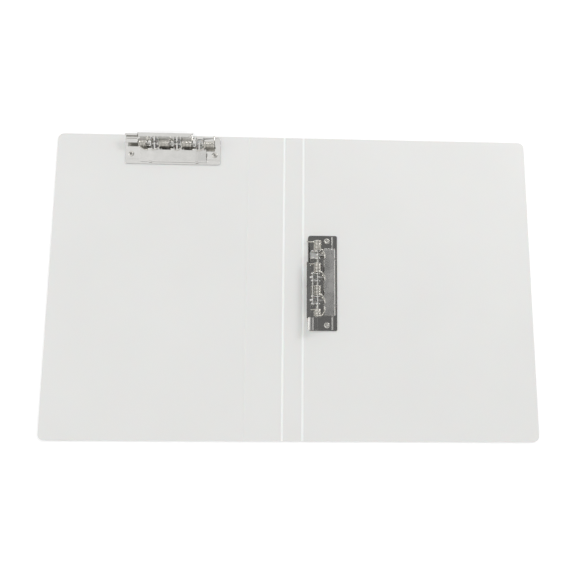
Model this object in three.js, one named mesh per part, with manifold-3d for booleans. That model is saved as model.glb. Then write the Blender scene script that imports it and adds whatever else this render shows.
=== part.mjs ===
// A foldable clipboard, lying open with its inside up: a plastic cover sheet folded at two
// creases into back cover, spine and front cover, with one sprung lever clip at the top of the
// front cover and a second one beside the spine on the back cover. Millimetres, +Z up; the
// origin is on the table, under the middle of the open sheet.
import * as THREE from 'three';
import { mergeVertices } from 'three/addons/utils/BufferGeometryUtils.js';
import Module from 'manifold-3d';

const wasm = await Module();
wasm.setup();

// Cover sheet
const coverWidth = 235;
const spineWidth = 20;
const coverHeight = 310;
const sheetThickness = 0.8;
const cornerRadius = 6;
const creaseGap = 0.1; // from each panel's coined edge to its fold axis
const bendLineOffset = 37.5; // soft bend line on the front cover, from its crease
const bendLineWidth = 2.4;
const bendLineDepth = 0.25;

// Where the two clips sit on the covers
const topClipFromCrease = 67;
const topClipFromEdge = 1.6;
const sideClipFromTop = 105;
const sideClipFromCrease = 4.8;

// Base plate of a clip. In a clip's own frame x runs along the clip toward the finger tab,
// y runs from its rear edge to its front edge, and z is up from the cover's inner face.
const clipLength = 97.5;
const clipDepth = 29.8;
const baseThickness = 0.8;
const baseRearCornerRadius = 3;
const baseFrontCornerRadius = 1.5;
const ribFromRear = 25;
const ribWidth = 1.2;
const ribHeight = 0.5;

// Ear pairs that stand up from the base plate, one pair at each side of a window
const windowCount = 3;
const firstWindow = 21; // centre, from the plain end
const lastWindowFromEnd = 30.5; // centre, from the tab end
const windowWidth = 6.5;
const windowRear = 2.2;
const windowFront = 12.2;
const windowCornerRadius = 0.8;
const earThickness = 0.9;
const earWall = 1.2; // metal around the rods
const rodSaddleDeg = 150; // an ear dips from here on the rod's boss
const pinSaddleDeg = -45; // to here on the pin's boss

// Hinge rod of the jaw, and the pin of the lever behind it
const rodFromRear = 10;
const rodHeight = 5.2;
const rodRadius = 1.2;
const rodStart = 5.4; // from the plain end
const rodEndMargin = 14; // from the tab end
const pinFromRear = 4.6;
const pinHeight = 7.2;
const pinRadius = 0.8;
const pinHeadRadius = 1.4;
const pinHeadLength = 0.8;

// Jaw: a sloping press plate with a folded lip, hung on the rod by ears
const jawStart = 14;
const jawEndMargin = 15.5;
const jawRear = 16.4;
const jawFront = 28;
const jawRearHeight = 5.9;
const jawSlopeDeg = 18;
const jawThickness = 0.9;
const jawLipDepth = 1.6;
const jawEarThickness = 1.6;
const jawEarWall = 0.6;
const jawShoulder = 0.85; // height of the arm beside its ring, as a share of the ring's radius
const gripWidth = 2.6;
const gripLength = 0.7;
const gripHeight = 0.9;
const gripFromJawEnd = 10;

// Tail fingers of the jaw, level with the rod's axis and pressed down by the cams of the lever
const tailEndFromRear = 2.2;
const tailTipThickness = 0.9;
const tailRootDrop = 1.8;

// Lever: a strip behind the ears, low along the rear edge, with a rolled finger tab at one end
const leverStart = 27.5;
const leverEndChamfer = 5;
const leverOverhang = 1.5; // past the rear edge of the base plate
const leverThickness = 0.8;
const tabLength = 12.5;
const tabFront = 9.4;
const tabCurlRadius = 1.6;
const leverEarThickness = 1.6;
const camSteps = 8; // flats along a cam's curve
const leverTravelDeg = 72;
const jawTravelDeg = 18;

// Torsion springs on the hinge rod
const wireRadius = 0.6;
const coilRadius = 3.1;
const coilPitch = 1.45;
const coilPlay = 3.2; // left free beside a coil that lies between two windows
const tabEndCoilTurns = 4;
const springTail = 1.4; // past the rear edge of the base plate
const springReach = 3.2; // straight part of the front leg, off the coil
const springSlant = 5; // along the clip, while the leg crosses to the jaw's rear edge
const springRest = 3.5; // along the jaw's rear edge
const rearLegTouchDeg = 150; // where the rear leg meets the coil, from the front, over the top
const wireSides = 6;
const stepsPerTurn = 9;

// Eyelets that fasten a clip to its cover
const eyeletFromEnd = 5.75;
const eyeletFromRear = 19.4;
const eyeletBore = 1.2;
const eyeletShankRadius = 2;
const eyeletFlangeRadius = 2.9;
const eyeletFlangeThickness = 0.5;
const eyeletSides = 16;

// Clearances
const seatGap = 0.15; // between stacked flat pieces
const runGap = 0.3; // between pieces that move on each other
const holeGap = 0.25; // around an eyelet's shank

// Worked out from the sizes above
const sheetBottom = eyeletFlangeThickness + seatGap;
const sheetTop = sheetBottom + sheetThickness;
const halfOpen = spineWidth / 2 + coverWidth;
const baseTop = seatGap + baseThickness;
const rodEar = rodRadius + runGap + earWall;
const pinEar = pinRadius + runGap + earWall / 2;
const stripBottom = rodHeight + runGap + seatGap;
const stripTop = stripBottom + leverThickness;
const stripFront = pinFromRear - pinEar - runGap;
const tabStart = clipLength - tabLength - 0.5;
const rodEnd = clipLength - rodEndMargin;
const jawEnd = clipLength - jawEndMargin;
const gripCentres = [jawStart + gripFromJawEnd, jawEnd - gripFromJawEnd];
const windowPitch = (clipLength - firstWindow - lastWindowFromEnd) / (windowCount - 1);
const windowCentres = Array.from({ length: windowCount }, (_, i) => firstWindow + i * windowPitch);

// Materials
const paint = (color, roughness, metalness) => new THREE.MeshStandardMaterial({ color, roughness, metalness });
const sheetPlastic = paint(0xe3e3e0, 0.55, 0);
const platedSteel = paint(0xa9aaa8, 0.2, 1);
const jawSteel = paint(0xb9b9b5, 0.3, 1);
const springSteel = paint(0xd2d0c8, 0.25, 1);

// Solids from geometry and back
function toSolid(geometry) {
  const bare = geometry.clone();
  bare.deleteAttribute('normal');
  bare.deleteAttribute('uv');
  const merged = mergeVertices(bare, 1e-5);
  const mesh = new wasm.Mesh({
    numProp: 3,
    vertProperties: new Float32Array(merged.attributes.position.array),
    triVerts: new Uint32Array(merged.index.array),
  });
  mesh.merge();
  return new wasm.Manifold(mesh);
}

function toGeometry(solid) {
  const mesh = solid.getMesh();
  const geometry = new THREE.BufferGeometry();
  geometry.setAttribute('position', new THREE.BufferAttribute(new Float32Array(mesh.vertProperties), 3));
  geometry.setIndex(new THREE.BufferAttribute(new Uint32Array(mesh.triVerts), 1));
  geometry.computeVertexNormals();
  return geometry;
}

const join = (geometries) => geometries.map(toSolid).reduce((a, b) => a.add(b));

// A flat shape drawn in (x, y), raised from bottom by height
function slab(shape, bottom, height, curveSegments = 6) {
  const geometry = new THREE.ExtrudeGeometry(shape, { depth: height, bevelEnabled: false, curveSegments });
  return geometry.translate(0, 0, bottom);
}

// A side section drawn in (y, z), run along x from start by length
function run(shape, start, length, curveSegments = 6) {
  const geometry = new THREE.ExtrudeGeometry(shape, { depth: length, bevelEnabled: false, curveSegments });
  const toSide = new THREE.Matrix4().makeBasis(
    new THREE.Vector3(0, 1, 0),
    new THREE.Vector3(0, 0, 1),
    new THREE.Vector3(1, 0, 0),
  );
  return geometry.applyMatrix4(toSide).translate(start, 0, 0);
}

function polygon(points) {
  return new THREE.Shape(points.map(([a, b]) => new THREE.Vector2(a, b)));
}

function disc(a, b, radius) {
  return new THREE.Shape().absarc(a, b, radius, 0, Math.PI * 2, false);
}

// A rectangle with one corner radius along its low side and another along its high side
function roundedRectangle(x0, y0, x1, y1, lowRadius, highRadius = lowRadius) {
  const shape = new THREE.Shape();
  shape.moveTo(x0 + lowRadius, y0);
  shape.lineTo(x1 - lowRadius, y0);
  shape.absarc(x1 - lowRadius, y0 + lowRadius, lowRadius, -Math.PI / 2, 0, false);
  shape.lineTo(x1, y1 - highRadius);
  shape.absarc(x1 - highRadius, y1 - highRadius, highRadius, 0, Math.PI / 2, false);
  shape.lineTo(x0 + highRadius, y1);
  shape.absarc(x0 + highRadius, y1 - highRadius, highRadius, Math.PI / 2, Math.PI, false);
  shape.lineTo(x0, y0 + lowRadius);
  shape.absarc(x0 + lowRadius, y0 + lowRadius, lowRadius, Math.PI, Math.PI * 1.5, false);
  return shape;
}

const radians = THREE.MathUtils.degToRad;

// Cover sheet. A panel's side section is drawn in (x, z) with its creased edge coined to a
// point at mid thickness, so two panels can fold a right angle either way.
function panelSection(creaseEdges, outerX, bendLineX) {
  const middle = sheetBottom + sheetThickness / 2;
  const coin = sheetThickness / 2;
  const [left, right] = creaseEdges;
  const shape = new THREE.Shape();
  if (left === null) {
    shape.moveTo(outerX, sheetTop);
    shape.lineTo(outerX, sheetBottom);
  } else {
    shape.moveTo(left + creaseGap + coin, sheetTop);
    shape.lineTo(left + creaseGap, middle);
    shape.lineTo(left + creaseGap + coin, sheetBottom);
  }
  if (right === null) {
    shape.lineTo(outerX, sheetBottom);
    shape.lineTo(outerX, sheetTop);
  } else {
    shape.lineTo(right - creaseGap - coin, sheetBottom);
    shape.lineTo(right - creaseGap, middle);
    shape.lineTo(right - creaseGap - coin, sheetTop);
  }
  if (bendLineX !== null) {
    shape.lineTo(bendLineX + bendLineWidth / 2, sheetTop);
    shape.lineTo(bendLineX, sheetTop - bendLineDepth);
    shape.lineTo(bendLineX - bendLineWidth / 2, sheetTop);
  }
  return shape;
}

function panelGeometry(creaseEdges, outerX, bendLineX) {
  const geometry = new THREE.ExtrudeGeometry(panelSection(creaseEdges, outerX, bendLineX), {
    depth: coverHeight,
    bevelEnabled: false,
  });
  const standOnSide = new THREE.Matrix4().makeBasis(
    new THREE.Vector3(1, 0, 0),
    new THREE.Vector3(0, 0, 1),
    new THREE.Vector3(0, -1, 0),
  );
  return geometry.applyMatrix4(standOnSide).translate(0, coverHeight / 2, 0);
}

// Places of the two clips: where the clip frame's origin lies and how far it is turned
const clipPlaces = {
  top: {
    origin: new THREE.Vector3(-spineWidth / 2 - topClipFromCrease, coverHeight / 2 - topClipFromEdge, sheetTop),
    turnDeg: 180,
  },
  side: {
    origin: new THREE.Vector3(spineWidth / 2 + sideClipFromCrease, coverHeight / 2 - sideClipFromTop, sheetTop),
    turnDeg: -90,
  },
};

const eyeletPlaces = [eyeletFromEnd, clipLength - eyeletFromEnd].map((x) => [x, eyeletFromRear]);

function onPage(place, x, y) {
  const point = new THREE.Vector3(x, y, 0).applyAxisAngle(new THREE.Vector3(0, 0, 1), radians(place.turnDeg));
  return point.add(place.origin);
}

function coverGeometry(creaseEdges, outerX, bendLineX, place) {
  const outline = slab(
    roundedRectangle(-halfOpen, -coverHeight / 2, halfOpen, coverHeight / 2, cornerRadius),
    0,
    sheetTop + sheetThickness,
  );
  let cover = toSolid(panelGeometry(creaseEdges, outerX, bendLineX)).intersect(toSolid(outline));
  for (const [x, y] of eyeletPlaces) {
    const centre = onPage(place, x, y);
    const hole = slab(disc(centre.x, centre.y, eyeletShankRadius + holeGap), 0, sheetTop + sheetThickness);
    cover = cover.subtract(toSolid(hole));
  }
  return toGeometry(cover);
}

// Base plate
function earShape() {
  const shape = new THREE.Shape();
  shape.moveTo(pinFromRear - pinEar, baseTop - baseThickness / 2);
  shape.lineTo(rodFromRear + rodEar, baseTop - baseThickness / 2);
  shape.lineTo(rodFromRear + rodEar, rodHeight);
  shape.absarc(rodFromRear, rodHeight, rodEar, 0, radians(rodSaddleDeg), false);
  shape.absarc(pinFromRear, pinHeight, pinEar, radians(pinSaddleDeg), Math.PI, false);
  shape.closePath();
  return shape;
}

function basePlateGeometry() {
  const rib = [
    [ribFromRear - ribWidth / 2, baseTop - baseThickness / 2],
    [ribFromRear + ribWidth / 2, baseTop - baseThickness / 2],
    [ribFromRear + ribWidth / 2, baseTop],
    [ribFromRear + ribWidth / 4, baseTop + ribHeight],
    [ribFromRear - ribWidth / 4, baseTop + ribHeight],
    [ribFromRear - ribWidth / 2, baseTop],
  ];
  const outline = roundedRectangle(0, 0, clipLength, clipDepth, baseRearCornerRadius, baseFrontCornerRadius);
  let plate = toSolid(slab(outline, seatGap, baseThickness));
  plate = plate.add(toSolid(run(polygon(rib), ribWidth, clipLength - 2 * ribWidth)));
  for (const centre of windowCentres) {
    for (const side of [-1, 1]) {
      const middle = centre + (side * (windowWidth + earThickness)) / 2;
      plate = plate.add(toSolid(run(earShape(), middle - earThickness / 2, earThickness)));
    }
    const opening = roundedRectangle(
      centre - windowWidth / 2,
      windowRear,
      centre + windowWidth / 2,
      windowFront,
      windowCornerRadius,
    );
    plate = plate.subtract(toSolid(slab(opening, 0, baseTop + ribHeight, 3)));
  }
  const rodBore = run(disc(rodFromRear, rodHeight, rodRadius + runGap), 0, clipLength);
  const pinBore = run(disc(pinFromRear, pinHeight, pinRadius + runGap), 0, clipLength);
  plate = plate.subtract(toSolid(rodBore)).subtract(toSolid(pinBore));
  for (const [x, y] of eyeletPlaces) {
    plate = plate.subtract(toSolid(slab(disc(x, y, eyeletShankRadius + holeGap), 0, baseTop + ribHeight)));
  }
  return toGeometry(plate);
}

// Jaw
const slope = Math.tan(radians(jawSlopeDeg));
const jawTopAt = (y) => jawRearHeight - (y - jawRear) * slope;
const jawDrop = jawThickness / Math.cos(radians(jawSlopeDeg));
const lipBottom = baseTop + runGap;

function jawPlateShape() {
  const bend = jawFront - jawLipDepth;
  return polygon([
    [jawRear, jawTopAt(jawRear)],
    [jawRear - jawThickness / 3, jawTopAt(jawRear) - jawDrop],
    [bend - jawThickness / 2, jawTopAt(bend) - jawDrop],
    [jawFront - jawThickness, lipBottom],
    [jawFront, lipBottom],
    [bend + jawThickness / 2, jawTopAt(bend)],
  ]);
}

function jawArmShape() {
  const ring = rodRadius + runGap + jawEarWall;
  return polygon([
    [rodFromRear, rodHeight + ring],
    [rodFromRear + ring / 2, rodHeight + ring * jawShoulder],
    [jawRear, jawTopAt(jawRear) - jawThickness / 2],
    [jawRear + ring, jawTopAt(jawRear + ring) - jawThickness / 2],
    [jawRear + ring, jawTopAt(jawRear + ring) - jawDrop - jawThickness / 2],
    [rodFromRear + ring / 2, rodHeight - ring * jawShoulder],
    [rodFromRear, rodHeight - ring],
  ].reverse());
}

function jawTailShape() {
  return polygon([
    [rodFromRear, rodHeight],
    [tailEndFromRear, rodHeight],
    [tailEndFromRear, rodHeight - tailTipThickness],
    [rodFromRear - rodRadius, rodHeight - tailRootDrop],
    [rodFromRear, rodHeight - tailRootDrop],
  ]);
}

function jawGeometry() {
  const ring = rodRadius + runGap + jawEarWall;
  const pieces = [run(jawPlateShape(), jawStart, jawEnd - jawStart)];
  for (const centre of windowCentres) {
    const start = centre - jawEarThickness / 2;
    pieces.push(run(disc(rodFromRear, rodHeight, ring), start, jawEarThickness));
    pieces.push(run(jawArmShape(), start, jawEarThickness));
  }
  for (const centre of leverWindows) {
    pieces.push(run(jawTailShape(), centre - jawEarThickness / 2, jawEarThickness));
  }
  for (const centre of gripCentres) {
    const grip = new THREE.BoxGeometry(gripWidth, gripLength * 2, gripHeight);
    pieces.push(grip.translate(centre, jawFront, lipBottom + gripHeight / 2));
  }
  const bore = run(disc(rodFromRear, rodHeight, rodRadius + runGap), 0, clipLength);
  return toGeometry(join(pieces).subtract(toSolid(bore)));
}

// Lever. Each cam face is the outline that keeps one running gap to the jaw's tail while the
// jaw follows the lever at a fixed ratio: the distance from the pin to the tail's top at each
// angle is the cam's extent in that direction, and its slope gives the point along the face.
const leverWindows = windowCentres.slice(1);
const followRatio = jawTravelDeg / leverTravelDeg;

function camPoints() {
  const arm = rodFromRear - pinFromRear;
  const rise = pinHeight - rodHeight;
  const points = [];
  for (let i = 0; i <= camSteps; i += 1) {
    const jawAngle = radians((jawTravelDeg * i) / camSteps);
    const camAngle = -Math.PI / 2 + jawAngle + jawAngle / followRatio;
    const reach = arm * Math.sin(jawAngle) + rise * Math.cos(jawAngle) - runGap;
    const growth = (arm * Math.cos(jawAngle) - rise * Math.sin(jawAngle)) * (followRatio / (1 + followRatio));
    points.push([
      pinFromRear + reach * Math.cos(camAngle) - growth * Math.sin(camAngle),
      pinHeight + reach * Math.sin(camAngle) + growth * Math.cos(camAngle),
    ]);
  }
  return points;
}

function leverEarShape() {
  const stripMiddle = (stripFront - leverOverhang) / 2;
  return polygon([
    [pinFromRear, rodHeight + runGap],
    ...camPoints(),
    [pinFromRear, pinHeight + pinEar],
    [pinFromRear - pinEar, pinHeight],
    [stripMiddle, stripTop - leverThickness / 2],
    [stripMiddle, stripBottom],
  ]);
}

function tabShape() {
  const curl = tabCurlRadius;
  const inner = curl - leverThickness;
  const centreY = curl;
  const centreZ = stripBottom + curl;
  const shape = new THREE.Shape();
  shape.moveTo(tabFront, stripBottom);
  shape.lineTo(tabFront, stripTop);
  shape.lineTo(centreY, stripTop);
  shape.absarc(centreY, centreZ, inner, -Math.PI / 2, Math.PI / 4, true);
  shape.absarc(centreY, centreZ, curl, Math.PI / 4, -Math.PI / 2, false);
  shape.closePath();
  return shape;
}

function leverGeometry() {
  const strip = polygon([
    [leverStart, -leverOverhang],
    [tabStart + leverThickness, -leverOverhang],
    [tabStart + leverThickness, stripFront],
    [leverStart + leverEndChamfer, stripFront],
  ]);
  const pieces = [slab(strip, stripBottom, leverThickness), run(tabShape(), tabStart, tabLength)];
  for (const centre of leverWindows) {
    const start = centre - leverEarThickness / 2;
    pieces.push(run(disc(pinFromRear, pinHeight, pinEar), start, leverEarThickness));
    pieces.push(run(leverEarShape(), start, leverEarThickness));
  }
  const bore = run(disc(pinFromRear, pinHeight, pinRadius + runGap), 0, clipLength);
  return toGeometry(join(pieces).subtract(toSolid(bore)));
}

// Rod and pin
function rodGeometry() {
  return run(disc(rodFromRear, rodHeight, rodRadius), rodStart, rodEnd - rodStart);
}

function pinGeometry() {
  const halfWindow = windowWidth / 2 + earThickness + runGap;
  const start = leverWindows[0] - halfWindow;
  const end = leverWindows[leverWindows.length - 1] + halfWindow;
  return toGeometry(join([
    run(disc(pinFromRear, pinHeight, pinRadius), start, end - start),
    run(disc(pinFromRear, pinHeight, pinHeadRadius), start - pinHeadLength, pinHeadLength),
    run(disc(pinFromRear, pinHeight, pinHeadRadius), end, pinHeadLength),
  ]));
}

// Springs. Each one stops short of the ears beside it; its rear leg presses on the base plate
// and its front leg slants across to lie on the jaw's rear edge, to the side that hook says.
const earMargin = windowWidth / 2 + earThickness + runGap * 2 + wireRadius;
const frontLegDeg = 90 - jawSlopeDeg;
const partTurn = (rearLegTouchDeg - frontLegDeg) / 360;
const coilRoom = windowPitch - 2 * earMargin - coilPlay;
const innerCoilTurns = Math.max(1, Math.floor(coilRoom / coilPitch - partTurn));
const springs = [
  ...windowCentres.map((centre) => ({ far: centre - earMargin, turns: innerCoilTurns, hook: 1 })),
  { far: rodEnd - runGap * 2 - wireRadius, turns: tabEndCoilTurns, hook: -1 },
];

function springPath({ far, turns, hook }) {
  const sweepDeg = (turns + partTurn) * 360;
  const near = far - (sweepDeg / 360) * coilPitch;
  const coilPoint = (deg, x) => new THREE.Vector3(
    x,
    rodFromRear + coilRadius * Math.cos(radians(deg)),
    rodHeight + coilRadius * Math.sin(radians(deg)),
  );
  const legHeight = baseTop + wireRadius + seatGap;
  const touch = coilPoint(rearLegTouchDeg, near);
  const down = (touch.z - legHeight) / Math.tan(radians(rearLegTouchDeg - 90));
  const points = [
    new THREE.Vector3(near, -springTail, legHeight),
    new THREE.Vector3(near, (touch.y - down) / 2, legHeight),
    new THREE.Vector3(near, touch.y - down, legHeight),
    new THREE.Vector3(near, touch.y - down / 2, (touch.z + legHeight) / 2),
  ];
  const steps = Math.round((sweepDeg / 360) * stepsPerTurn);
  for (let i = 0; i <= steps; i += 1) {
    points.push(coilPoint(rearLegTouchDeg - (sweepDeg * i) / steps, near + ((far - near) * i) / steps));
  }
  const seat = jawRear + wireRadius;
  const seatHeight = jawTopAt(seat) + wireRadius / Math.cos(radians(jawSlopeDeg)) + seatGap;
  const offCoil = coilPoint(frontLegDeg, far);
  offCoil.y += springReach * Math.cos(radians(jawSlopeDeg));
  offCoil.z -= springReach * Math.sin(radians(jawSlopeDeg));
  const onJaw = new THREE.Vector3(far + hook * springSlant, seat, seatHeight);
  const end = onJaw.clone();
  end.x += hook * springRest;
  points.push(offCoil, offCoil.clone().lerp(onJaw, 0.5), onJaw, onJaw.clone().lerp(end, 0.5), end);
  return new THREE.CatmullRomCurve3(points, false, 'centripetal');
}

function springGeometry(spring) {
  const path = springPath(spring);
  const section = new THREE.Shape();
  for (let i = 0; i < wireSides; i += 1) {
    const angle = (i / wireSides) * Math.PI * 2;
    const point = [wireRadius * Math.cos(angle), wireRadius * Math.sin(angle)];
    if (i === 0) {
      section.moveTo(...point);
    } else {
      section.lineTo(...point);
    }
  }
  section.closePath();
  const stepLength = (2 * Math.PI * coilRadius) / stepsPerTurn;
  const steps = Math.round(path.getLength() / stepLength);
  return new THREE.ExtrudeGeometry(section, { steps, extrudePath: path, bevelEnabled: false });
}

// Eyelets
function eyeletGeometry() {
  const top = baseTop + seatGap + eyeletFlangeThickness;
  const flangeBottom = baseTop + seatGap;
  const tailTopFace = -sheetThickness - seatGap;
  const bottom = tailTopFace - eyeletFlangeThickness;
  const profile = [
    [eyeletBore, bottom],
    [eyeletFlangeRadius, bottom],
    [eyeletFlangeRadius, tailTopFace],
    [eyeletShankRadius, tailTopFace],
    [eyeletShankRadius, flangeBottom],
    [eyeletFlangeRadius, flangeBottom],
    [eyeletFlangeRadius - eyeletFlangeThickness / 2, top],
    [eyeletBore, top],
    [eyeletBore, bottom],
  ].map(([r, z]) => new THREE.Vector2(r, z));
  return new THREE.LatheGeometry(profile, eyeletSides).rotateX(Math.PI / 2);
}

// Assembly
function part(name, geometry, material) {
  const mesh = new THREE.Mesh(geometry, material);
  mesh.name = name;
  return mesh;
}

function clip(prefix, place) {
  const group = new THREE.Group();
  group.position.copy(place.origin);
  group.rotation.z = radians(place.turnDeg);
  group.add(part(`${prefix}_base_plate`, basePlateGeometry(), platedSteel));
  group.add(part(`${prefix}_hinge_rod`, rodGeometry(), platedSteel));
  group.add(part(`${prefix}_jaw`, jawGeometry(), jawSteel));
  group.add(part(`${prefix}_lever`, leverGeometry(), platedSteel));
  group.add(part(`${prefix}_lever_pin`, pinGeometry(), springSteel));
  springs.forEach((spring, i) => {
    group.add(part(`${prefix}_spring_${i + 1}`, springGeometry(spring), springSteel));
  });
  eyeletPlaces.forEach(([x, y], i) => {
    const eyelet = part(`${prefix}_eyelet_${i + 1}`, eyeletGeometry(), springSteel);
    eyelet.position.set(x, y, 0);
    group.add(eyelet);
  });
  return group;
}

const leftCrease = -spineWidth / 2;
const rightCrease = spineWidth / 2;
const clipboard = new THREE.Group();
clipboard.add(part(
  'front_cover',
  coverGeometry([null, leftCrease], -halfOpen, leftCrease - bendLineOffset, clipPlaces.top),
  sheetPlastic,
));
clipboard.add(part('spine_panel', panelGeometry([leftCrease, rightCrease], null, null), sheetPlastic));
clipboard.add(part('back_cover', coverGeometry([rightCrease, null], halfOpen, null, clipPlaces.side), sheetPlastic));
clipboard.add(clip('top_clip', clipPlaces.top));
clipboard.add(clip('side_clip', clipPlaces.side));

export default clipboard;
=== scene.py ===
# %% [markdown]
# # A foldable clipboard with two lever clips
# The real object is a folder of frosted polypropylene sheet, die cut and creased so that it
# folds into a front cover, a spine and a back cover. One sprung lever clip is riveted to the
# top of the front cover and a second one to the back cover beside the spine. The engineering
# model already holds every working piece at its real place, so this script loads it as a fixed
# frame, replaces each plain solid by a finely finished piece, and gives each its material.

# %% Load the frame
import math
import bmesh
import bpy
from mathutils import Euler, Matrix, Vector


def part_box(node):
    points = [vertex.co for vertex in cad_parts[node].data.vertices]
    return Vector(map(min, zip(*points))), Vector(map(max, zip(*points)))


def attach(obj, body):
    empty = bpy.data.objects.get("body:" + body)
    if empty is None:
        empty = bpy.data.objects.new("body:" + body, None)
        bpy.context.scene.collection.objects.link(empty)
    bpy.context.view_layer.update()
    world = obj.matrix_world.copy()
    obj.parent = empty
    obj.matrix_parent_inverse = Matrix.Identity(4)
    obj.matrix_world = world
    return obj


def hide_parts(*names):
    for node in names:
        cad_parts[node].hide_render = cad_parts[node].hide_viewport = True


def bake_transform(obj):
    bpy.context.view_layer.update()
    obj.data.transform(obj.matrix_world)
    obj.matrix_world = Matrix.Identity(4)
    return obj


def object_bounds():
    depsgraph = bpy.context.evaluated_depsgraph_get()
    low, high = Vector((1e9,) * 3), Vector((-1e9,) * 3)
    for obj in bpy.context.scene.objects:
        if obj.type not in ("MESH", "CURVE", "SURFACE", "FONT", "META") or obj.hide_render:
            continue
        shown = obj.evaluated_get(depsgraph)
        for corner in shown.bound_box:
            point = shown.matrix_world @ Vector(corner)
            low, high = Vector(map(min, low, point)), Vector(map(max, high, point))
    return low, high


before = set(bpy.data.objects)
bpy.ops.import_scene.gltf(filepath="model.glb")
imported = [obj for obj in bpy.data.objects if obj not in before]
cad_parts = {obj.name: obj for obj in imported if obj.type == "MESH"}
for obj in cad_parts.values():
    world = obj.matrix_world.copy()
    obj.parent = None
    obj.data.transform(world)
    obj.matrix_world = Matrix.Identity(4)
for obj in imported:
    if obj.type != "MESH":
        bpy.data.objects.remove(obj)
cad_low, cad_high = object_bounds()
print("model box in mm:", [round(1000 * (b - a), 1) for a, b in zip(cad_low, cad_high)])

# %% [markdown]
# Blender works in metres here, and a stationery maker works in millimetres, so each size below
# is written in millimetres times MM. Places that the frame knows are read from it. A small round
# piece gets 40 sides, which look round at the distance of the photo and closer.

# %% Sizes that several cells share
MM = 0.001
ROUND_SIDES = 40
front_low, front_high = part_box("front_cover")
back_low, back_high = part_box("back_cover")
spine_low, spine_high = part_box("spine_panel")
sheet_bottom, sheet_top = front_low.z, front_high.z
sheet_middle = (sheet_bottom + sheet_top) / 2
front_crease_x = (front_high.x + spine_low.x) / 2
rear_crease_x = (back_low.x + spine_high.x) / 2
print("sheet is", round((sheet_top - sheet_bottom) / MM, 2), "mm thick")

# %% [markdown]
# A few small helpers. Everything is deselected before a new piece is started, because an
# operator acts on all that is selected. Edges and points are picked in code by where they lie,
# which is what a modeller does by eye. A finished piece keeps its place in its mesh, and its
# object sits at the origin, as the model's own pieces do.

# %% Helpers for modelling
def deselect():
    if bpy.context.object and bpy.context.object.mode != "OBJECT":
        bpy.ops.object.mode_set(mode="OBJECT")
    bpy.ops.object.select_all(action="DESELECT")


def activate(obj):
    deselect()
    obj.select_set(True)
    bpy.context.view_layer.objects.active = obj


def pick(kind, test):
    """In edit mode, select the points ("VERT") or edges ("EDGE") for which test is true.

    The number that was selected is returned, so that a step can be skipped where it is none.
    """
    bpy.ops.mesh.select_mode(type=kind)
    bpy.ops.mesh.select_all(action="DESELECT")
    mesh = bmesh.from_edit_mesh(bpy.context.object.data)
    chosen = 0
    for part in (mesh.verts if kind == "VERT" else mesh.edges):
        points = [part.co] if kind == "VERT" else [v.co for v in part.verts]
        if test(*points):
            part.select_set(True)
            chosen += 1
    bmesh.update_edit_mesh(bpy.context.object.data)
    return chosen


def near(a, b, within=0.02 * MM):
    return abs(a - b) < within


def apply_modifier(obj, kind, **settings):
    activate(obj)
    modifier = obj.modifiers.new(kind.title(), kind)
    for key, value in settings.items():
        setattr(modifier, key, value)
    bpy.ops.object.modifier_apply(modifier=modifier.name)


def bake_place(obj):
    """Put the object's place into its mesh, so that the object itself sits at the origin."""
    activate(obj)
    bpy.ops.object.transform_apply(location=True, rotation=True, scale=True)


# %% [markdown]
# Colours are written as sRGB hex, as a picture editor gives them, and turned to the linear
# values that the shader wants. One helper adds a node with its settings and its links. A Mix
# node has sockets of several kinds under the same names, so its colours go by their numbers.

# %% Helpers for materials
MIX_COLOUR_A, MIX_COLOUR_B, MIX_COLOUR_RESULT = 6, 7, 2


def srgb(hex_colour):
    def linear(c):
        return c / 12.92 if c <= 0.04045 else ((c + 0.055) / 1.055) ** 2.4
    channels = [int(hex_colour[i:i + 2], 16) / 255 for i in (1, 3, 5)]
    return (*[linear(c) for c in channels], 1.0)


def add_node(tree, kind, settings=None, links=None):
    node = tree.nodes.new(kind)
    for key, value in (settings or {}).items():
        if key in node.inputs:
            node.inputs[key].default_value = value
        else:
            setattr(node, key, value)
    for key, source in (links or {}).items():
        tree.links.new(source, node.inputs[key])
    return node


def new_material(name):
    material = bpy.data.materials.new(name)
    material.use_nodes = True
    tree = material.node_tree
    tree.nodes.clear()
    output = add_node(tree, "ShaderNodeOutputMaterial")
    shader = add_node(tree, "ShaderNodeBsdfPrincipled")
    tree.links.new(shader.outputs["BSDF"], output.inputs["Surface"])
    coords = add_node(tree, "ShaderNodeTexCoord")
    return material, tree, shader, coords.outputs["Object"]


# %% [markdown]
# The cover is extruded polypropylene sheet with a fine sand texture rolled into both faces,
# which is why it looks frosted: it scatters light evenly and shows only a broad, weak sheen. The
# grain of such a texture is about 0.3 mm. It is drawn at 0.6 mm, because finer grain would
# vanish in the picture. Slow clouds of colour, as wide as a hand, stand for the uneven haze of
# a natural, unfilled plastic. The plastic's refractive index is 1.49, and a little light sinks
# in by about a millimetre before it comes back out.

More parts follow.
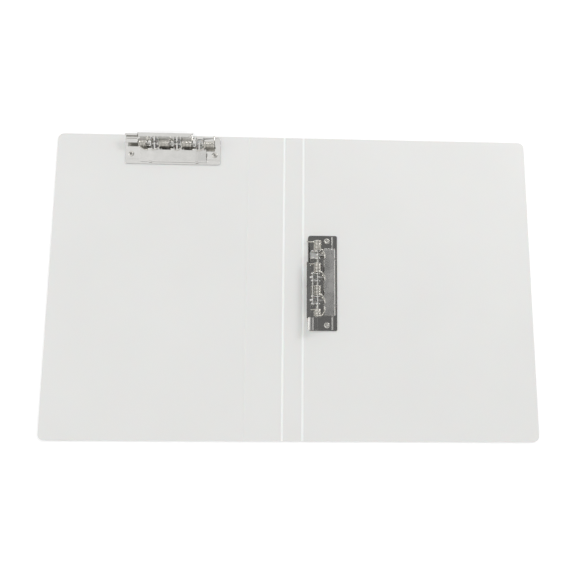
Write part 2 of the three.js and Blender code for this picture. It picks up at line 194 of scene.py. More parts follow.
# %% Material: frosted polypropylene sheet
def frosted_polypropylene(name, light, dark, roughness):
    material, tree, shader, place = new_material(name)
    grain_size = 0.6 * MM
    pit_size = 1.0 * MM
    cloud_size = 90 * MM
    gloss_spread = 0.05
    clouds = add_node(tree, "ShaderNodeTexNoise", {"Scale": 1 / cloud_size, "Detail": 2.0}, {"Vector": place})
    tint = add_node(tree, "ShaderNodeMix", {"data_type": "RGBA"}, {"Factor": clouds.outputs["Fac"]})
    tint.inputs[MIX_COLOUR_A].default_value = srgb(light)
    tint.inputs[MIX_COLOUR_B].default_value = srgb(dark)
    grain = add_node(tree, "ShaderNodeTexNoise", {"Scale": 1 / grain_size, "Detail": 2.0}, {"Vector": place})
    pits = add_node(
        tree,
        "ShaderNodeTexVoronoi",
        {"Scale": 1 / pit_size, "feature": "SMOOTH_F1"},
        {"Vector": place},
    )
    relief = add_node(tree, "ShaderNodeMath", {"operation": "ADD"})
    tree.links.new(grain.outputs["Fac"], relief.inputs[0])
    tree.links.new(pits.outputs["Distance"], relief.inputs[1])
    bump = add_node(
        tree,
        "ShaderNodeBump",
        {"Strength": 0.25, "Distance": 0.05 * MM},
        {"Height": relief.outputs["Value"]},
    )
    gloss = add_node(
        tree,
        "ShaderNodeMapRange",
        {"To Min": roughness - gloss_spread, "To Max": roughness + gloss_spread},
        {"Value": grain.outputs["Fac"]},
    )
    tree.links.new(tint.outputs[MIX_COLOUR_RESULT], shader.inputs["Base Color"])
    tree.links.new(bump.outputs["Normal"], shader.inputs["Normal"])
    tree.links.new(gloss.outputs["Result"], shader.inputs["Roughness"])
    shader.inputs["IOR"].default_value = 1.49
    shader.inputs["Subsurface Weight"].default_value = 0.08
    shader.inputs["Subsurface Scale"].default_value = 1.0 * MM
    return material


panel_plastic = frosted_polypropylene("frosted_polypropylene_sheet", "#E6E6E4", "#E1E1DF", 0.55)
print("made", panel_plastic.name)

# %% [markdown]
# Along a crease the sheet is pressed thin while warm. The plastic there is stretched, so it is
# whiter and shinier than the sheet beside it: the photo shows each crease as a bright line.

# %% Material: stretched plastic of the creases
crease_plastic = frosted_polypropylene("stretched_polypropylene_crease", "#FBFBFA", "#F4F4F2", 0.35)
print("made", crease_plastic.name)

# %% [markdown]
# The clips are stamped from mild steel and nickel plated. Nickel is a mirror with a slight warm
# grey, and a thin plating follows the fine rolling lines of the strip beneath, which run along
# the clip. Rolling lines are a few hundredths of a millimetre wide, and are drawn at 0.25 mm so
# that they show. Handling leaves broad, faint smears that change the gloss: where the plate is
# clean its roughness is a little over half the usual value, and where it is smeared half as
# much again. The jaw was pressed from duller strip than the base plate and the lever.

# %% Material: nickel-plated steel
CLEAN_SHARE, SMEARED_SHARE = 0.6, 1.5


def nickel_plate(name, light, dark, roughness, along, line_width=0.25 * MM, line_length=14 * MM, relief=0.2):
    material, tree, shader, place = new_material(name)
    smear_size = 12 * MM
    stretch = [1 / line_width, 1 / line_width, 1 / line_width]
    stretch["XYZ".index(along)] = 1 / line_length
    mapping = add_node(tree, "ShaderNodeMapping", {"Scale": stretch}, {"Vector": place})
    lines = add_node(
        tree,
        "ShaderNodeTexNoise",
        {"Scale": 1.0, "Detail": 3.0},
        {"Vector": mapping.outputs["Vector"]},
    )
    smears = add_node(tree, "ShaderNodeTexNoise", {"Scale": 1 / smear_size, "Detail": 3.0}, {"Vector": place})
    tint = add_node(tree, "ShaderNodeMix", {"data_type": "RGBA"}, {"Factor": smears.outputs["Fac"]})
    tint.inputs[MIX_COLOUR_A].default_value = srgb(light)
    tint.inputs[MIX_COLOUR_B].default_value = srgb(dark)
    gloss = add_node(
        tree,
        "ShaderNodeMapRange",
        {"To Min": roughness * CLEAN_SHARE, "To Max": roughness * SMEARED_SHARE},
        {"Value": smears.outputs["Fac"]},
    )
    bump = add_node(
        tree,
        "ShaderNodeBump",
        {"Strength": relief, "Distance": 0.02 * MM},
        {"Height": lines.outputs["Fac"]},
    )
    tree.links.new(tint.outputs[MIX_COLOUR_RESULT], shader.inputs["Base Color"])
    tree.links.new(gloss.outputs["Result"], shader.inputs["Roughness"])
    tree.links.new(bump.outputs["Normal"], shader.inputs["Normal"])
    shader.inputs["Metallic"].default_value = 1.0
    return material


run_of_clip = {"top_clip": "X", "side_clip": "Y"}
base_nickel, jaw_nickel, lever_nickel = {}, {}, {}
for clip, along in run_of_clip.items():
    base_nickel[clip] = nickel_plate(clip + "_nickel_strip", "#DDDCD9", "#CFCECB", 0.12, along)
    jaw_nickel[clip] = nickel_plate(clip + "_nickel_jaw", "#DDDCD9", "#D0CFCC", 0.24, along)
    lever_nickel[clip] = nickel_plate(clip + "_nickel_lever", "#DCDBD8", "#CDCCC9", 0.15, along)
print("made", len(base_nickel) + len(jaw_nickel) + len(lever_nickel), "plated finishes")

# %% [markdown]
# Spring wire is drawn through a die, so it is smooth and bright with a faint straw tone. The
# eyelets are brass tube, nickel plated and rolled over in a press, and the rods are cut from
# plain plated wire. These small round pieces need no rolling lines.

# %% Materials: wire, rods and eyelets
spring_wire = nickel_plate("drawn_spring_wire", "#DCDAD4", "#BFBCB4", 0.16, "Z", 0.4 * MM, 3 * MM, 0.08)
rod_steel = nickel_plate("plated_rod_steel", "#BDBCB8", "#9C9B97", 0.22, "Z", 0.3 * MM, 3 * MM, 0.1)
eyelet_nickel = nickel_plate("nickel_plated_eyelet", "#DCDAD4", "#C2C0BA", 0.14, "Z", 0.3 * MM, 3 * MM, 0.08)
print("made", spring_wire.name, rod_steel.name, eyelet_nickel.name)

# %% [markdown]
# ## The cover
# The front cover, the spine and the back cover are one die-cut sheet on the real folder. Each
# is made here as a slab: a cube at the size and place of its solid, with the two outer corners
# rounded by a bevel of the die's corner radius, and a far smaller bevel round the cut rim, where
# the die leaves a soft edge. Beside a crease the sheet thins toward the fold, so that edge gets a
# bevel about as deep as a third of the sheet. A panel stops a millimetre short of the crease's
# middle, where the film hinge starts.

# %% Cover panels
CORNER_RADIUS = 6 * MM
RIM_RADIUS = 0.18 * MM
COIN_DEPTH = 0.26 * MM
CREASE_HALF_WIDTH = 1.05 * MM
LONG_EDGE = 200 * MM


def panel(name, low, high, creased_sides, body):
    """A slab of sheet from low to high; creased_sides are the x places of its folded edges."""
    deselect()
    bpy.ops.mesh.primitive_cube_add(size=1, location=(low + high) / 2)
    obj = bpy.context.object
    obj.name = obj.data.name = name
    obj.scale = high - low
    bake_place(obj)
    bpy.ops.object.mode_set(mode="EDIT")
    outer = [x for x in (low.x, high.x) if not any(near(x, c) for c in creased_sides)]
    if pick("EDGE", lambda a, b: near(a.x, b.x) and near(a.y, b.y) and any(near(a.x, x) for x in outer)):
        bpy.ops.mesh.bevel(offset=CORNER_RADIUS, segments=14, affect="EDGES")

    def on_crease(a, b):
        return any(near(a.x, c) and near(b.x, c) for c in creased_sides)

    pick("EDGE", lambda a, b: near(a.z, b.z) and not on_crease(a, b))
    bpy.ops.mesh.bevel(offset=RIM_RADIUS, segments=3, affect="EDGES")
    pick("EDGE", lambda a, b: near(a.z, b.z) and on_crease(a, b) and abs(a.y - b.y) > LONG_EDGE)
    bpy.ops.mesh.bevel(offset=COIN_DEPTH, segments=4, affect="EDGES")
    bpy.ops.object.mode_set(mode="OBJECT")
    obj.data.materials.append(panel_plastic)
    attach(obj, body)
    return obj


# %% [markdown]
# The three panels lie side by side: the front cover on the left, the spine, and the back cover.
# Each rides on its own body, because the folder turns at the two creases between them.

# %% The three panels
def crease_side(x, direction):
    return x + direction * CREASE_HALF_WIDTH


front_panel = panel(
    "front_panel",
    front_low,
    Vector((crease_side(front_crease_x, -1), front_high.y, front_high.z)),
    [crease_side(front_crease_x, -1)],
    "front_cover",
)
spine_strip = panel(
    "spine_strip",
    Vector((crease_side(front_crease_x, 1), spine_low.y, spine_low.z)),
    Vector((crease_side(rear_crease_x, -1), spine_high.y, spine_high.z)),
    [crease_side(front_crease_x, 1), crease_side(rear_crease_x, -1)],
    "spine",
)
back_panel = panel(
    "back_panel",
    Vector((crease_side(rear_crease_x, 1), back_low.y, back_low.z)),
    back_high,
    [crease_side(rear_crease_x, 1)],
    "back_cover",
)
print("panel faces:", [len(o.data.polygons) for o in (front_panel, spine_strip, back_panel)])

# %% [markdown]
# The front cover also has a soft bend line some 38 mm from its crease, where the cover bends up
# over the papers. It is a shallow pressed trough, so five cuts are bisected across the slab, and
# the inner ones are lowered in two steps, to a quarter of a millimetre at the middle.

# %% Bend line
BEND_LINE_OFFSET = 37.5 * MM
BEND_LINE_WIDTH = 2.4 * MM
BEND_LINE_DEPTH = 0.25 * MM
BEND_CUTS = (-0.5, -0.2, 0, 0.2, 0.5)
BEND_STEPS = ((0.3, 0.45), (0.05, 0.55))
bend_x = front_crease_x - BEND_LINE_OFFSET
activate(front_panel)
bpy.ops.object.mode_set(mode="EDIT")
for across in BEND_CUTS:
    bpy.ops.mesh.select_all(action="SELECT")
    bpy.ops.mesh.bisect(plane_co=(bend_x + across * BEND_LINE_WIDTH, 0, 0), plane_no=(1, 0, 0))
for reach, share in BEND_STEPS:
    pick("VERT", lambda a: abs(a.x - bend_x) < reach * BEND_LINE_WIDTH and a.z > sheet_middle)
    bpy.ops.transform.translate(value=(0, 0, -share * BEND_LINE_DEPTH))
bpy.ops.object.mode_set(mode="OBJECT")
print("bend line at x =", round(bend_x / MM, 1), "mm")

# %% [markdown]
# Each eyelet passes through a punched hole in its cover. A cylinder a little wider than the
# eyelet's shank is taken out of the slab with a Boolean modifier. The three finished panels
# then stand for the model's plain ones.

# %% Eyelet holes
SHANK_RADIUS = 2.0 * MM
HOLE_PLAY = 0.25 * MM
DRILL_DEPTH = 6 * MM
CLIPS = {"top_clip": "front_cover", "side_clip": "back_cover"}
cover_of_clip = {"top_clip": front_panel, "side_clip": back_panel}


def middle_of(node):
    low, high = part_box(node)
    return (low + high) / 2


for clip, cover in cover_of_clip.items():
    for number in (1, 2):
        centre = middle_of(f"{clip}_eyelet_{number}")
        deselect()
        bpy.ops.mesh.primitive_cylinder_add(
            vertices=ROUND_SIDES,
            radius=SHANK_RADIUS + HOLE_PLAY,
            depth=DRILL_DEPTH,
            location=(centre.x, centre.y, sheet_middle),
        )
        drill = bpy.context.object
        apply_modifier(cover, "BOOLEAN", operation="DIFFERENCE", object=drill)
        bpy.data.objects.remove(drill)
for cover, node in ((front_panel, "front_cover"), (spine_strip, "spine_panel"), (back_panel, "back_cover")):
    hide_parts(node)
print("front panel has", len(front_panel.data.polygons), "faces after drilling")

# %% [markdown]
# A crease is a film hinge: the same plastic, thinned to less than half, that bends as the
# folder closes. It is a narrow plane, cut lengthwise into fine strips so that it can bend
# smoothly, swelled a little along its middle, and given the film's thickness by Solidify.

# %% Film hinges at the creases
FILM_THICKNESS = 0.34 * MM
FILM_RISE = 0.12 * MM
FILM_CUTS = 11
FILM_OVERLAP = 0.02 * MM
FILM_SWELL = ((0.9, 0.4), (0.6, 0.35), (0.3, 0.25))


def film_hinge(name, x):
    """A film along the crease at x, reaching from the panel on its right to the one on its left."""
    deselect()
    width = 2 * (CREASE_HALF_WIDTH + FILM_OVERLAP)
    length = spine_high.y - spine_low.y - 2 * RIM_RADIUS
    bpy.ops.mesh.primitive_plane_add(size=1, location=(x, 0, sheet_middle + FILM_THICKNESS / 2))
    obj = bpy.context.object
    obj.name = obj.data.name = name
    obj.scale = (width, length, 1)
    bake_place(obj)
    bpy.ops.object.mode_set(mode="EDIT")
    for i in range(1, FILM_CUTS + 1):
        bpy.ops.mesh.select_all(action="SELECT")
        cut = x - width / 2 + width * i / (FILM_CUTS + 1)
        bpy.ops.mesh.bisect(plane_co=(cut, 0, 0), plane_no=(1, 0, 0))
    for reach, share in FILM_SWELL:
        pick("VERT", lambda a: abs(a.x - x) < reach * width / 2)
        bpy.ops.transform.translate(value=(0, 0, share * FILM_RISE))
    bpy.ops.object.mode_set(mode="OBJECT")
    apply_modifier(obj, "SOLIDIFY", thickness=FILM_THICKNESS, offset=-1)
    activate(obj)
    bpy.ops.object.shade_smooth_by_angle(angle=math.radians(40))
    obj.data.materials.append(crease_plastic)
    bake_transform(obj)
    return obj


front_film = film_hinge("front_crease_film", front_crease_x)
rear_film = film_hinge("rear_crease_film", rear_crease_x)
print("film hinge faces:", len(front_film.data.polygons), len(rear_film.data.polygons))

# %% [markdown]
# ## The clips
# The stampings keep the engineering model's shape: sheet steel with pierced windows, stood-up
# ears and folds. A stamping's edges are tumbled smooth before it is plated, and it is those
# rounded edges that catch the light. So each solid is copied, its loose triangles are merged
# into one skin, flat areas are dissolved, and a bevel rounds the edges. The bevel's clamp is off,
# because one very short edge would shrink the bevel of all the others, and the widths are kept
# small so that the short edges come to no harm. An edge is rounded where its faces meet at more
# than 28 degrees, which leaves out the facets of the solid's round forms.
# Weighted normals then keep the flats flat, so that a mirror finish shows no false ripples.

# %% Stampings with tumbled edges
MERGE_WITHIN = 0.002 * MM
FLAT_WITHIN = math.radians(0.5)
ROUNDED_ABOVE = math.radians(28)
SMOOTH_BELOW = math.radians(35)


def tumbled(node, name, width, material, body):
    """A copy of the node's solid with rounded edges, which stands for it."""
    deselect()
    obj = bpy.data.objects.new(name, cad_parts[node].data.copy())
    bpy.context.scene.collection.objects.link(obj)
    activate(obj)
    bpy.ops.object.mode_set(mode="EDIT")
    bpy.ops.mesh.select_all(action="SELECT")
    bpy.ops.mesh.remove_doubles(threshold=MERGE_WITHIN)
    bpy.ops.mesh.dissolve_limited(angle_limit=FLAT_WITHIN)
    bpy.ops.mesh.customdata_custom_splitnormals_clear()
    bpy.ops.object.mode_set(mode="OBJECT")
    apply_modifier(
        obj, "BEVEL", width=width, offset_type="WIDTH", segments=3, limit_method="ANGLE",
        angle_limit=ROUNDED_ABOVE, use_clamp_overlap=False,
    )
    activate(obj)
    bpy.ops.object.shade_smooth_by_angle(angle=SMOOTH_BELOW)
    apply_modifier(obj, "WEIGHTED_NORMAL", weight=100, keep_sharp=True)
    obj.data.materials.clear()
    obj.data.materials.append(material)
    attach(obj, body)
    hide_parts(node)
    return obj


BASE_BEVEL = 0.14 * MM
JAW_BEVEL = 0.18 * MM
LEVER_BEVEL = 0.14 * MM
for clip, body in CLIPS.items():
    jaw_body = clip.replace("_clip", "_jaw")
    lever_body = clip.replace("_clip", "_lever")
    plate = tumbled(
        clip + "_base_plate", clip + "_tumbled_base", BASE_BEVEL, base_nickel[clip], body
    )
    jaw = tumbled(
        clip + "_jaw", clip + "_tumbled_jaw", JAW_BEVEL, jaw_nickel[clip], jaw_body
    )
    lever = tumbled(
        clip + "_lever", clip + "_tumbled_lever", LEVER_BEVEL, lever_nickel[clip], lever_body
    )
    print(clip, "stampings:", [len(o.data.polygons) for o in (plate, jaw, lever)], "faces")

# %% [markdown]
# The hinge rod and the lever's pin are turned from wire. A rod is a cylinder whose end edges
# are bevelled, as a cutter leaves them. The pin is the same, with a flattened head at each end,
# so each head is a short disc with a wider bevel, joined to it.

# %% Rods and pins
def lying_cylinder(low, high, along, radius, bevel):
    """A cylinder from low to high along X or Y with rounded end edges."""
    deselect()
    turn = (0, math.radians(90), 0) if along == "X" else (math.radians(90), 0, 0)
    axis = "XYZ".index(along)
    bpy.ops.mesh.primitive_cylinder_add(
        vertices=ROUND_SIDES,
        radius=radius,
        depth=high[axis] - low[axis],
        location=(low + high) / 2,
        rotation=turn,
    )
    obj = bpy.context.object
    bake_place(obj)
    bpy.ops.object.mode_set(mode="EDIT")
    ends = (low[axis], high[axis])
    pick("EDGE", lambda a, b: near(a[axis], b[axis]) and any(near(a[axis], e) for e in ends))
    bpy.ops.mesh.bevel(offset=bevel, segments=4, affect="EDGES")
    bpy.ops.object.mode_set(mode="OBJECT")
    return obj


def finish_round(obj, name, material, body, node):
    """Smooth, name and dress a turned piece, and let it stand for the node."""
    obj.name = obj.data.name = name
    activate(obj)
    bpy.ops.object.shade_smooth_by_angle(angle=SMOOTH_BELOW)
    obj.data.materials.append(material)
    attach(obj, body)
    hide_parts(node)


ROD_RADIUS = 1.2 * MM
PIN_RADIUS = 0.8 * MM
HEAD_RADIUS = 1.4 * MM
HEAD_LENGTH = 0.8 * MM
SHANK_INTO_HEAD = 0.1
CUT_BEVEL = 0.3 * MM
HIDDEN_BEVEL = 0.05 * MM
for clip, body in CLIPS.items():
    along = run_of_clip[clip]
    axis = "XYZ".index(along)
    low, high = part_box(clip + "_hinge_rod")
    rod = lying_cylinder(low, high, along, ROD_RADIUS, CUT_BEVEL)
    finish_round(rod, clip + "_turned_rod", rod_steel, body, clip + "_hinge_rod")
    low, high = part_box(clip + "_lever_pin")
    head = Vector((0, 0, 0))
    head[axis] = HEAD_LENGTH
    inset = head * (1 - SHANK_INTO_HEAD)
    first = (low + high) / 2
    last = first.copy()
    first[axis], last[axis] = low[axis], high[axis]
    pieces = [
        lying_cylinder(first + inset, last - inset, along, PIN_RADIUS, HIDDEN_BEVEL),
        lying_cylinder(first, first + head, along, HEAD_RADIUS, CUT_BEVEL),
        lying_cylinder(last - head, last, along, HEAD_RADIUS, CUT_BEVEL),
    ]
    deselect()
    for piece in pieces:
        piece.select_set(True)
    bpy.context.view_layer.objects.active = pieces[0]
    bpy.ops.object.join()
    finish_round(pieces[0], clip + "_headed_pin", rod_steel, body, clip + "_lever_pin")
print("rods and pins made for", len(CLIPS), "clips")

# %% [markdown]
# A torsion spring is one wire: a leg along the base plate, close coils round the rod, and a leg
# that hooks over the jaw. Its middle line is worked out by a formula in the clip's own frame,
# where x runs toward the finger tab, y from the rear edge to the front, and z up from the sheet.
# The angles round the rod are counted from the front. The wire leaves the coil in a straight
# line where it touches the round, so each leg starts at the angle at which its line is tangent.
# The front leg runs straight for LEG_REACH, slants sideways by LEG_SLANT to the jaw's rear edge,
# and lies along that edge for LEG_REST.

# %% Spring wire line
ROD_FROM_REAR = 10 * MM
ROD_HEIGHT = 5.2 * MM
WIRE_RADIUS = 0.6 * MM
COIL_RADIUS = 3.1 * MM
COIL_PITCH = 1.45 * MM
TAIL_PAST_REAR = 1.4 * MM
LEG_HEIGHT = 1.7 * MM
JAW_SLOPE = math.radians(18)
JAW_REAR = 16.4 * MM
JAW_REAR_HEIGHT = 5.9 * MM
LEG_REACH = 3.2 * MM
LEG_SLANT = 5 * MM
LEG_REST = 3.5 * MM
REAR_LEG_TOUCH = 150
FRONT_LEG_TOUCH = 72
PART_TURN = (REAR_LEG_TOUCH - FRONT_LEG_TOUCH) / 360
POINTS_PER_TURN = 24
WIRE_BEND = 1.2 * MM
BEND_POINTS = 5
SEAT_PLAY = 0.1 * MM


def coil_point(degrees, x):
    angle = math.radians(degrees)
    y = ROD_FROM_REAR + COIL_RADIUS * math.cos(angle)
    z = ROD_HEIGHT + COIL_RADIUS * math.sin(angle)
    return Vector((x, y, z))


def bend(corner_from, corner, corner_to):
    """Points of a round bend at a corner of the wire."""
    a = corner + (corner_from - corner).normalized() * WIRE_BEND
    b = corner + (corner_to - corner).normalized() * WIRE_BEND
    shares = [i / BEND_POINTS for i in range(BEND_POINTS + 1)]
    return [a.lerp(corner, t).lerp(corner.lerp(b, t), t) for t in shares]


def spring_line(far_x, turns, side):
    """Middle line of a spring whose coil ends at far_x; side is the way its front leg slants."""
    sweep = (turns + PART_TURN) * 360
    near_x = far_x - (turns + PART_TURN) * COIL_PITCH
    steps = round((turns + PART_TURN) * POINTS_PER_TURN)
    coil = [coil_point(REAR_LEG_TOUCH - sweep * i / steps, near_x + (far_x - near_x) * i / steps)
            for i in range(steps + 1)]
    touch, leave = coil[0], coil[-1]
    run_in = (touch.z - LEG_HEIGHT) / math.tan(math.radians(REAR_LEG_TOUCH - 90))
    tip = Vector((near_x, -TAIL_PAST_REAR, LEG_HEIGHT))
    foot = Vector((near_x, touch.y - run_in, LEG_HEIGHT))
    off_coil = leave + Vector((0, math.cos(JAW_SLOPE), -math.sin(JAW_SLOPE))) * LEG_REACH
    slope_drop = WIRE_RADIUS * math.tan(JAW_SLOPE)
    seat_z = JAW_REAR_HEIGHT - slope_drop + WIRE_RADIUS / math.cos(JAW_SLOPE) + SEAT_PLAY
    on_jaw = Vector((far_x + side * LEG_SLANT, JAW_REAR + WIRE_RADIUS, seat_z))
    end = on_jaw + Vector((side * LEG_REST, 0, 0))
    return [
        tip, *bend(tip, foot, touch), *coil,
        *bend(leave, off_coil, on_jaw), *bend(off_coil, on_jaw, end), end,
    ]


print("a spring's line:", len(spring_line(0, 6, 1)), "points")

# %% [markdown]
# A curve with a round bevel follows each wire's line, and is then turned into a mesh. The same
# wire is placed for each clip by turning it about the vertical. The three long springs slant
# their hooks toward the tab, and the short one beside the tab slants its hook the other way, so
# that every hook lands on the jaw. On the real clip a spring's rear leg lies on the base plate
# and its hook moves with the jaw.

# %% Springs
def clip_turn(clip):
    """Turns and moves a shape from the clip's own frame to its place on the sheet."""
    low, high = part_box(clip + "_base_plate")
    if clip == "top_clip":
        return Matrix.Translation((high.x, high.y, sheet_top)) @ Matrix.Rotation(math.radians(180), 4, "Z")
    return Matrix.Translation((low.x, high.y, sheet_top)) @ Matrix.Rotation(math.radians(-90), 4, "Z")


def wire_piece(name, points):
    curve = bpy.data.curves.new(name, "CURVE")
    curve.dimensions = "3D"
    curve.bevel_depth = WIRE_RADIUS
    curve.bevel_resolution = 4
    curve.use_fill_caps = True
    spline = curve.splines.new("POLY")
    spline.points.add(len(points) - 1)
    for knot, point in zip(spline.points, points):
        knot.co = (*point, 1)
    obj = bpy.data.objects.new(name, curve)
    bpy.context.scene.collection.objects.link(obj)
    activate(obj)
    bpy.ops.object.convert(target="MESH")
    obj = bpy.context.object
    bpy.ops.object.shade_smooth_by_angle(angle=math.radians(50))
    return obj


COIL_ENDS = (15.65 * MM, 38.65 * MM, 61.65 * MM, 82.3 * MM)
COIL_TURNS = (6, 6, 6, 4)
LEG_SIDES = (1, 1, 1, -1)
for clip, body in CLIPS.items():
    place = clip_turn(clip)
    jaw_body = clip.replace("_clip", "_jaw")
    for number, far_x, turns, side in zip((1, 2, 3, 4), COIL_ENDS, COIL_TURNS, LEG_SIDES):
        node = f"{clip}_spring_{number}"
        spring = wire_piece(f"{clip}_coil_{number}", spring_line(far_x, turns, side))
        spring.data.transform(place)
        spring.data.materials.append(spring_wire)
        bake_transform(spring)
        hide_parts(node)
        solid_low, solid_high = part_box(node)
        points = [v.co for v in spring.data.vertices]
        off = max(abs(min(p[i] for p in points) - solid_low[i]) for i in range(3))
        print(node, "is within", round(off / MM, 2), "mm of its solid's lowest corner")

# %% [markdown]
# An eyelet is a short tube with a rolled flange at each end. The press rolls each flange over in
# a round dome, which is why an eyelet shines as a bright ring. It starts as a circle at the
# shank, and is extruded and scaled ring by ring round its section, with enough rings for the
# domes to look round. The last ring meets the first, and merging them closes the skin.

# %% Eyelets
EYELET_BORE = 1.2 * MM
FLANGE_RADIUS = 2.9 * MM
FLANGE_THICKNESS = 0.5 * MM
DOME_STEPS = 12
RING_MERGE = 0.004 * MM


def rolled_flange(z_inner, z_outer):
    """Section points, from the shank out to the flange's rim and over its dome to the bore."""
    dome_middle = (FLANGE_RADIUS + EYELET_BORE) / 2
    dome_half = (FLANGE_RADIUS - EYELET_BORE) / 2
    angles = [math.pi * i / DOME_STEPS for i in range(DOME_STEPS + 1)]
    rise = z_outer - z_inner
    dome = [(dome_middle + dome_half * math.cos(a), z_inner + rise * math.sin(a)) for a in angles]
    return [(SHANK_RADIUS, z_inner), *dome]


def turned_ring(name, section, centre):
    """A ring about the upright line through centre, with a section of (radius, height) points."""
    deselect()
    radius, height = section[0]
    bpy.ops.mesh.primitive_circle_add(
        vertices=ROUND_SIDES, radius=radius, location=(centre.x, centre.y, height)
    )
    obj = bpy.context.object
    obj.name = obj.data.name = name
    bake_place(obj)
    bpy.ops.object.mode_set(mode="EDIT")
    bpy.ops.mesh.select_all(action="SELECT")
    for next_radius, next_height in section[1:]:
        bpy.ops.mesh.extrude_region_move(TRANSFORM_OT_translate={"value": (0, 0, next_height - height)})
        growth = next_radius / radius
        bpy.ops.transform.resize(value=(growth, growth, 1))
        radius, height = next_radius, next_height
    bpy.ops.mesh.select_all(action="SELECT")
    bpy.ops.mesh.remove_doubles(threshold=RING_MERGE)
    bpy.ops.mesh.normals_make_consistent(inside=False)
    bpy.ops.object.mode_set(mode="OBJECT")
    return obj


for clip, body in CLIPS.items():
    for number in (1, 2):
        node = f"{clip}_eyelet_{number}"
        low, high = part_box(node)
        upper = rolled_flange(high.z - FLANGE_THICKNESS, high.z)
        lower = rolled_flange(low.z + FLANGE_THICKNESS, low.z)
        section = [*upper, *reversed(lower), upper[0]]
        eyelet = turned_ring(f"{clip}_rolled_eyelet_{number}", section, (low + high) / 2)
        finish_round(eyelet, f"{clip}_rolled_eyelet_{number}", eyelet_nickel, body, node)
print("eyelets made")

# %% [markdown]
# ## The view
# The photo was taken from almost straight above, a little below the middle, with the left side
# a touch nearer. A camera fitted to the sheet's four corners and two creases gave the three small
# turns and the distance below. The frame is a square of 576 pixels.

# %% Camera
CAMERA_TURN_DEG = (7.69, -1.89, 0.47)
CAMERA_OFFSET = Vector((-5.15, -4.06, 531.7)) * MM
FOCAL_PIXELS = 523.1
FRAME_PIXELS = 576
SENSOR_MM = 36
camera_data = bpy.data.cameras.new("camera")
camera_data.sensor_width = SENSOR_MM
camera_data.lens = FOCAL_PIXELS * camera_data.sensor_width / FRAME_PIXELS
camera = bpy.data.objects.new("camera", camera_data)
bpy.context.scene.collection.objects.link(camera)
turn = Euler([math.radians(a) for a in CAMERA_TURN_DEG], "XYZ")
camera.rotation_euler = turn
camera.location = turn.to_matrix() @ CAMERA_OFFSET
bpy.context.scene.camera = camera
print("camera stands", round(camera.location.z, 3), "m above the table")

# %% [markdown]
# The picture was lit as a catalogue shot, on a white table. The table catches the object's soft
# shadow, and its own white would fall a little short of the photo's, so it also glows faintly
# for the rays that look at it: those from the camera, from a mirror, and through a clear piece.
# The glow doesn't light the sheet.

# %% Table
TABLE_SIZE = 6
TABLE_LIFT = 0.1


def white_table():
    material = bpy.data.materials.new("white_table")
    material.use_nodes = True
    tree = material.node_tree
    tree.nodes.clear()
    output = add_node(tree, "ShaderNodeOutputMaterial")
    diffuse = add_node(tree, "ShaderNodeBsdfDiffuse", {"Color": srgb("#FFFFFF")})
    glow = add_node(tree, "ShaderNodeEmission", {"Color": srgb("#FFFFFF")})
    path = add_node(tree, "ShaderNodeLightPath")
    seen = add_node(tree, "ShaderNodeMath", {"operation": "ADD"}, {0: path.outputs["Is Camera Ray"]})
    tree.links.new(path.outputs["Is Glossy Ray"], seen.inputs[1])
    also = add_node(tree, "ShaderNodeMath", {"operation": "ADD"}, {0: seen.outputs["Value"]})
    tree.links.new(path.outputs["Is Transmission Ray"], also.inputs[1])
    lift = add_node(tree, "ShaderNodeMath", {"operation": "MULTIPLY"}, {0: also.outputs["Value"]})
    lift.inputs[1].default_value = TABLE_LIFT
    tree.links.new(lift.outputs["Value"], glow.inputs["Strength"])
    both = add_node(tree, "ShaderNodeAddShader")
    tree.links.new(diffuse.outputs["BSDF"], both.inputs[0])
    tree.links.new(glow.outputs["Emission"], both.inputs[1])
    tree.links.new(both.outputs["Shader"], output.inputs["Surface"])
    return material


deselect()
bpy.ops.mesh.primitive_plane_add(size=TABLE_SIZE, location=(0, 0, cad_low.z))
table = bpy.context.object
table.name = "table"
table.data.materials.append(white_table())
print("the table lies at z =", cad_low.z)

# %% [markdown]
# Two soft boxes give the light its direction and the metal its sparkle. The left one stands low
# and far out, so that it brightens the sheet but isn't mirrored in the clip at the top. The
# right one stands behind, and is a little stronger, as the photo's right cover is brighter.

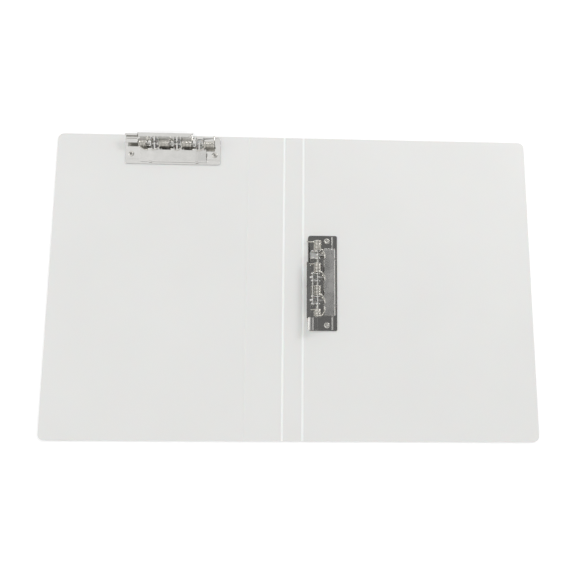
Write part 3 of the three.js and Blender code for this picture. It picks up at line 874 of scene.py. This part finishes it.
# %% Lamps
def area_lamp(name, location, size, power):
    """A square soft box at location, facing the middle of the object."""
    data = bpy.data.lights.new(name, "AREA")
    data.shape = "RECTANGLE"
    data.size = data.size_y = size
    data.energy = power
    lamp = bpy.data.objects.new(name, data)
    lamp.location = location
    lamp.rotation_euler = (-Vector(location)).to_track_quat("-Z", "Y").to_euler()
    bpy.context.scene.collection.objects.link(lamp)


area_lamp("key_softbox", (-1.6, 0.1, 0.9), 0.8, 4)
area_lamp("rim_softbox", (1.2, 1.0, 0.9), 0.4, 8)
print("two soft boxes stand left and right")

# %% [markdown]
# Polished nickel shows what is round it, so the room matters. The clip at the top mirrors white
# walls, while the one in the middle mirrors the dim part of the ceiling where the camera hangs.
# The world is therefore an even white with one dim, soft-edged patch: the angle between a ray
# and the patch's middle decides its brightness.

# %% Room
DIM_DIRECTION = (0.38, 0.05, 0.92)
DIM_EDGES_DEG = (31, 24)
DIM_STRENGTH = 0.16


def white_room(dim_direction, dim_edges, dim_strength):
    """An even white room with one dim patch of ceiling, where the camera and its arm hang."""
    world = bpy.data.worlds.new("white_room")
    world.use_nodes = True
    tree = world.node_tree
    coords = add_node(tree, "ShaderNodeTexCoord")
    toward = add_node(
        tree, "ShaderNodeVectorMath", {"operation": "DOT_PRODUCT"}, {0: coords.outputs["Generated"]}
    )
    toward.inputs[1].default_value = Vector(dim_direction).normalized()
    outer, inner = (math.cos(math.radians(a)) for a in dim_edges)
    fade = add_node(
        tree,
        "ShaderNodeMapRange",
        {"interpolation_type": "SMOOTHSTEP", "From Min": outer, "From Max": inner,
         "To Min": 1.0, "To Max": dim_strength},
        {"Value": toward.outputs["Value"]},
    )
    background = tree.nodes["Background"]
    background.inputs["Color"].default_value = srgb("#FFFFFF")
    tree.links.new(fade.outputs["Result"], background.inputs["Strength"])
    return world


bpy.context.scene.world = white_room(DIM_DIRECTION, DIM_EDGES_DEG, DIM_STRENGTH)
bpy.context.scene.view_settings.view_transform = "Standard"
print("the room is white, with a dim patch above the camera")
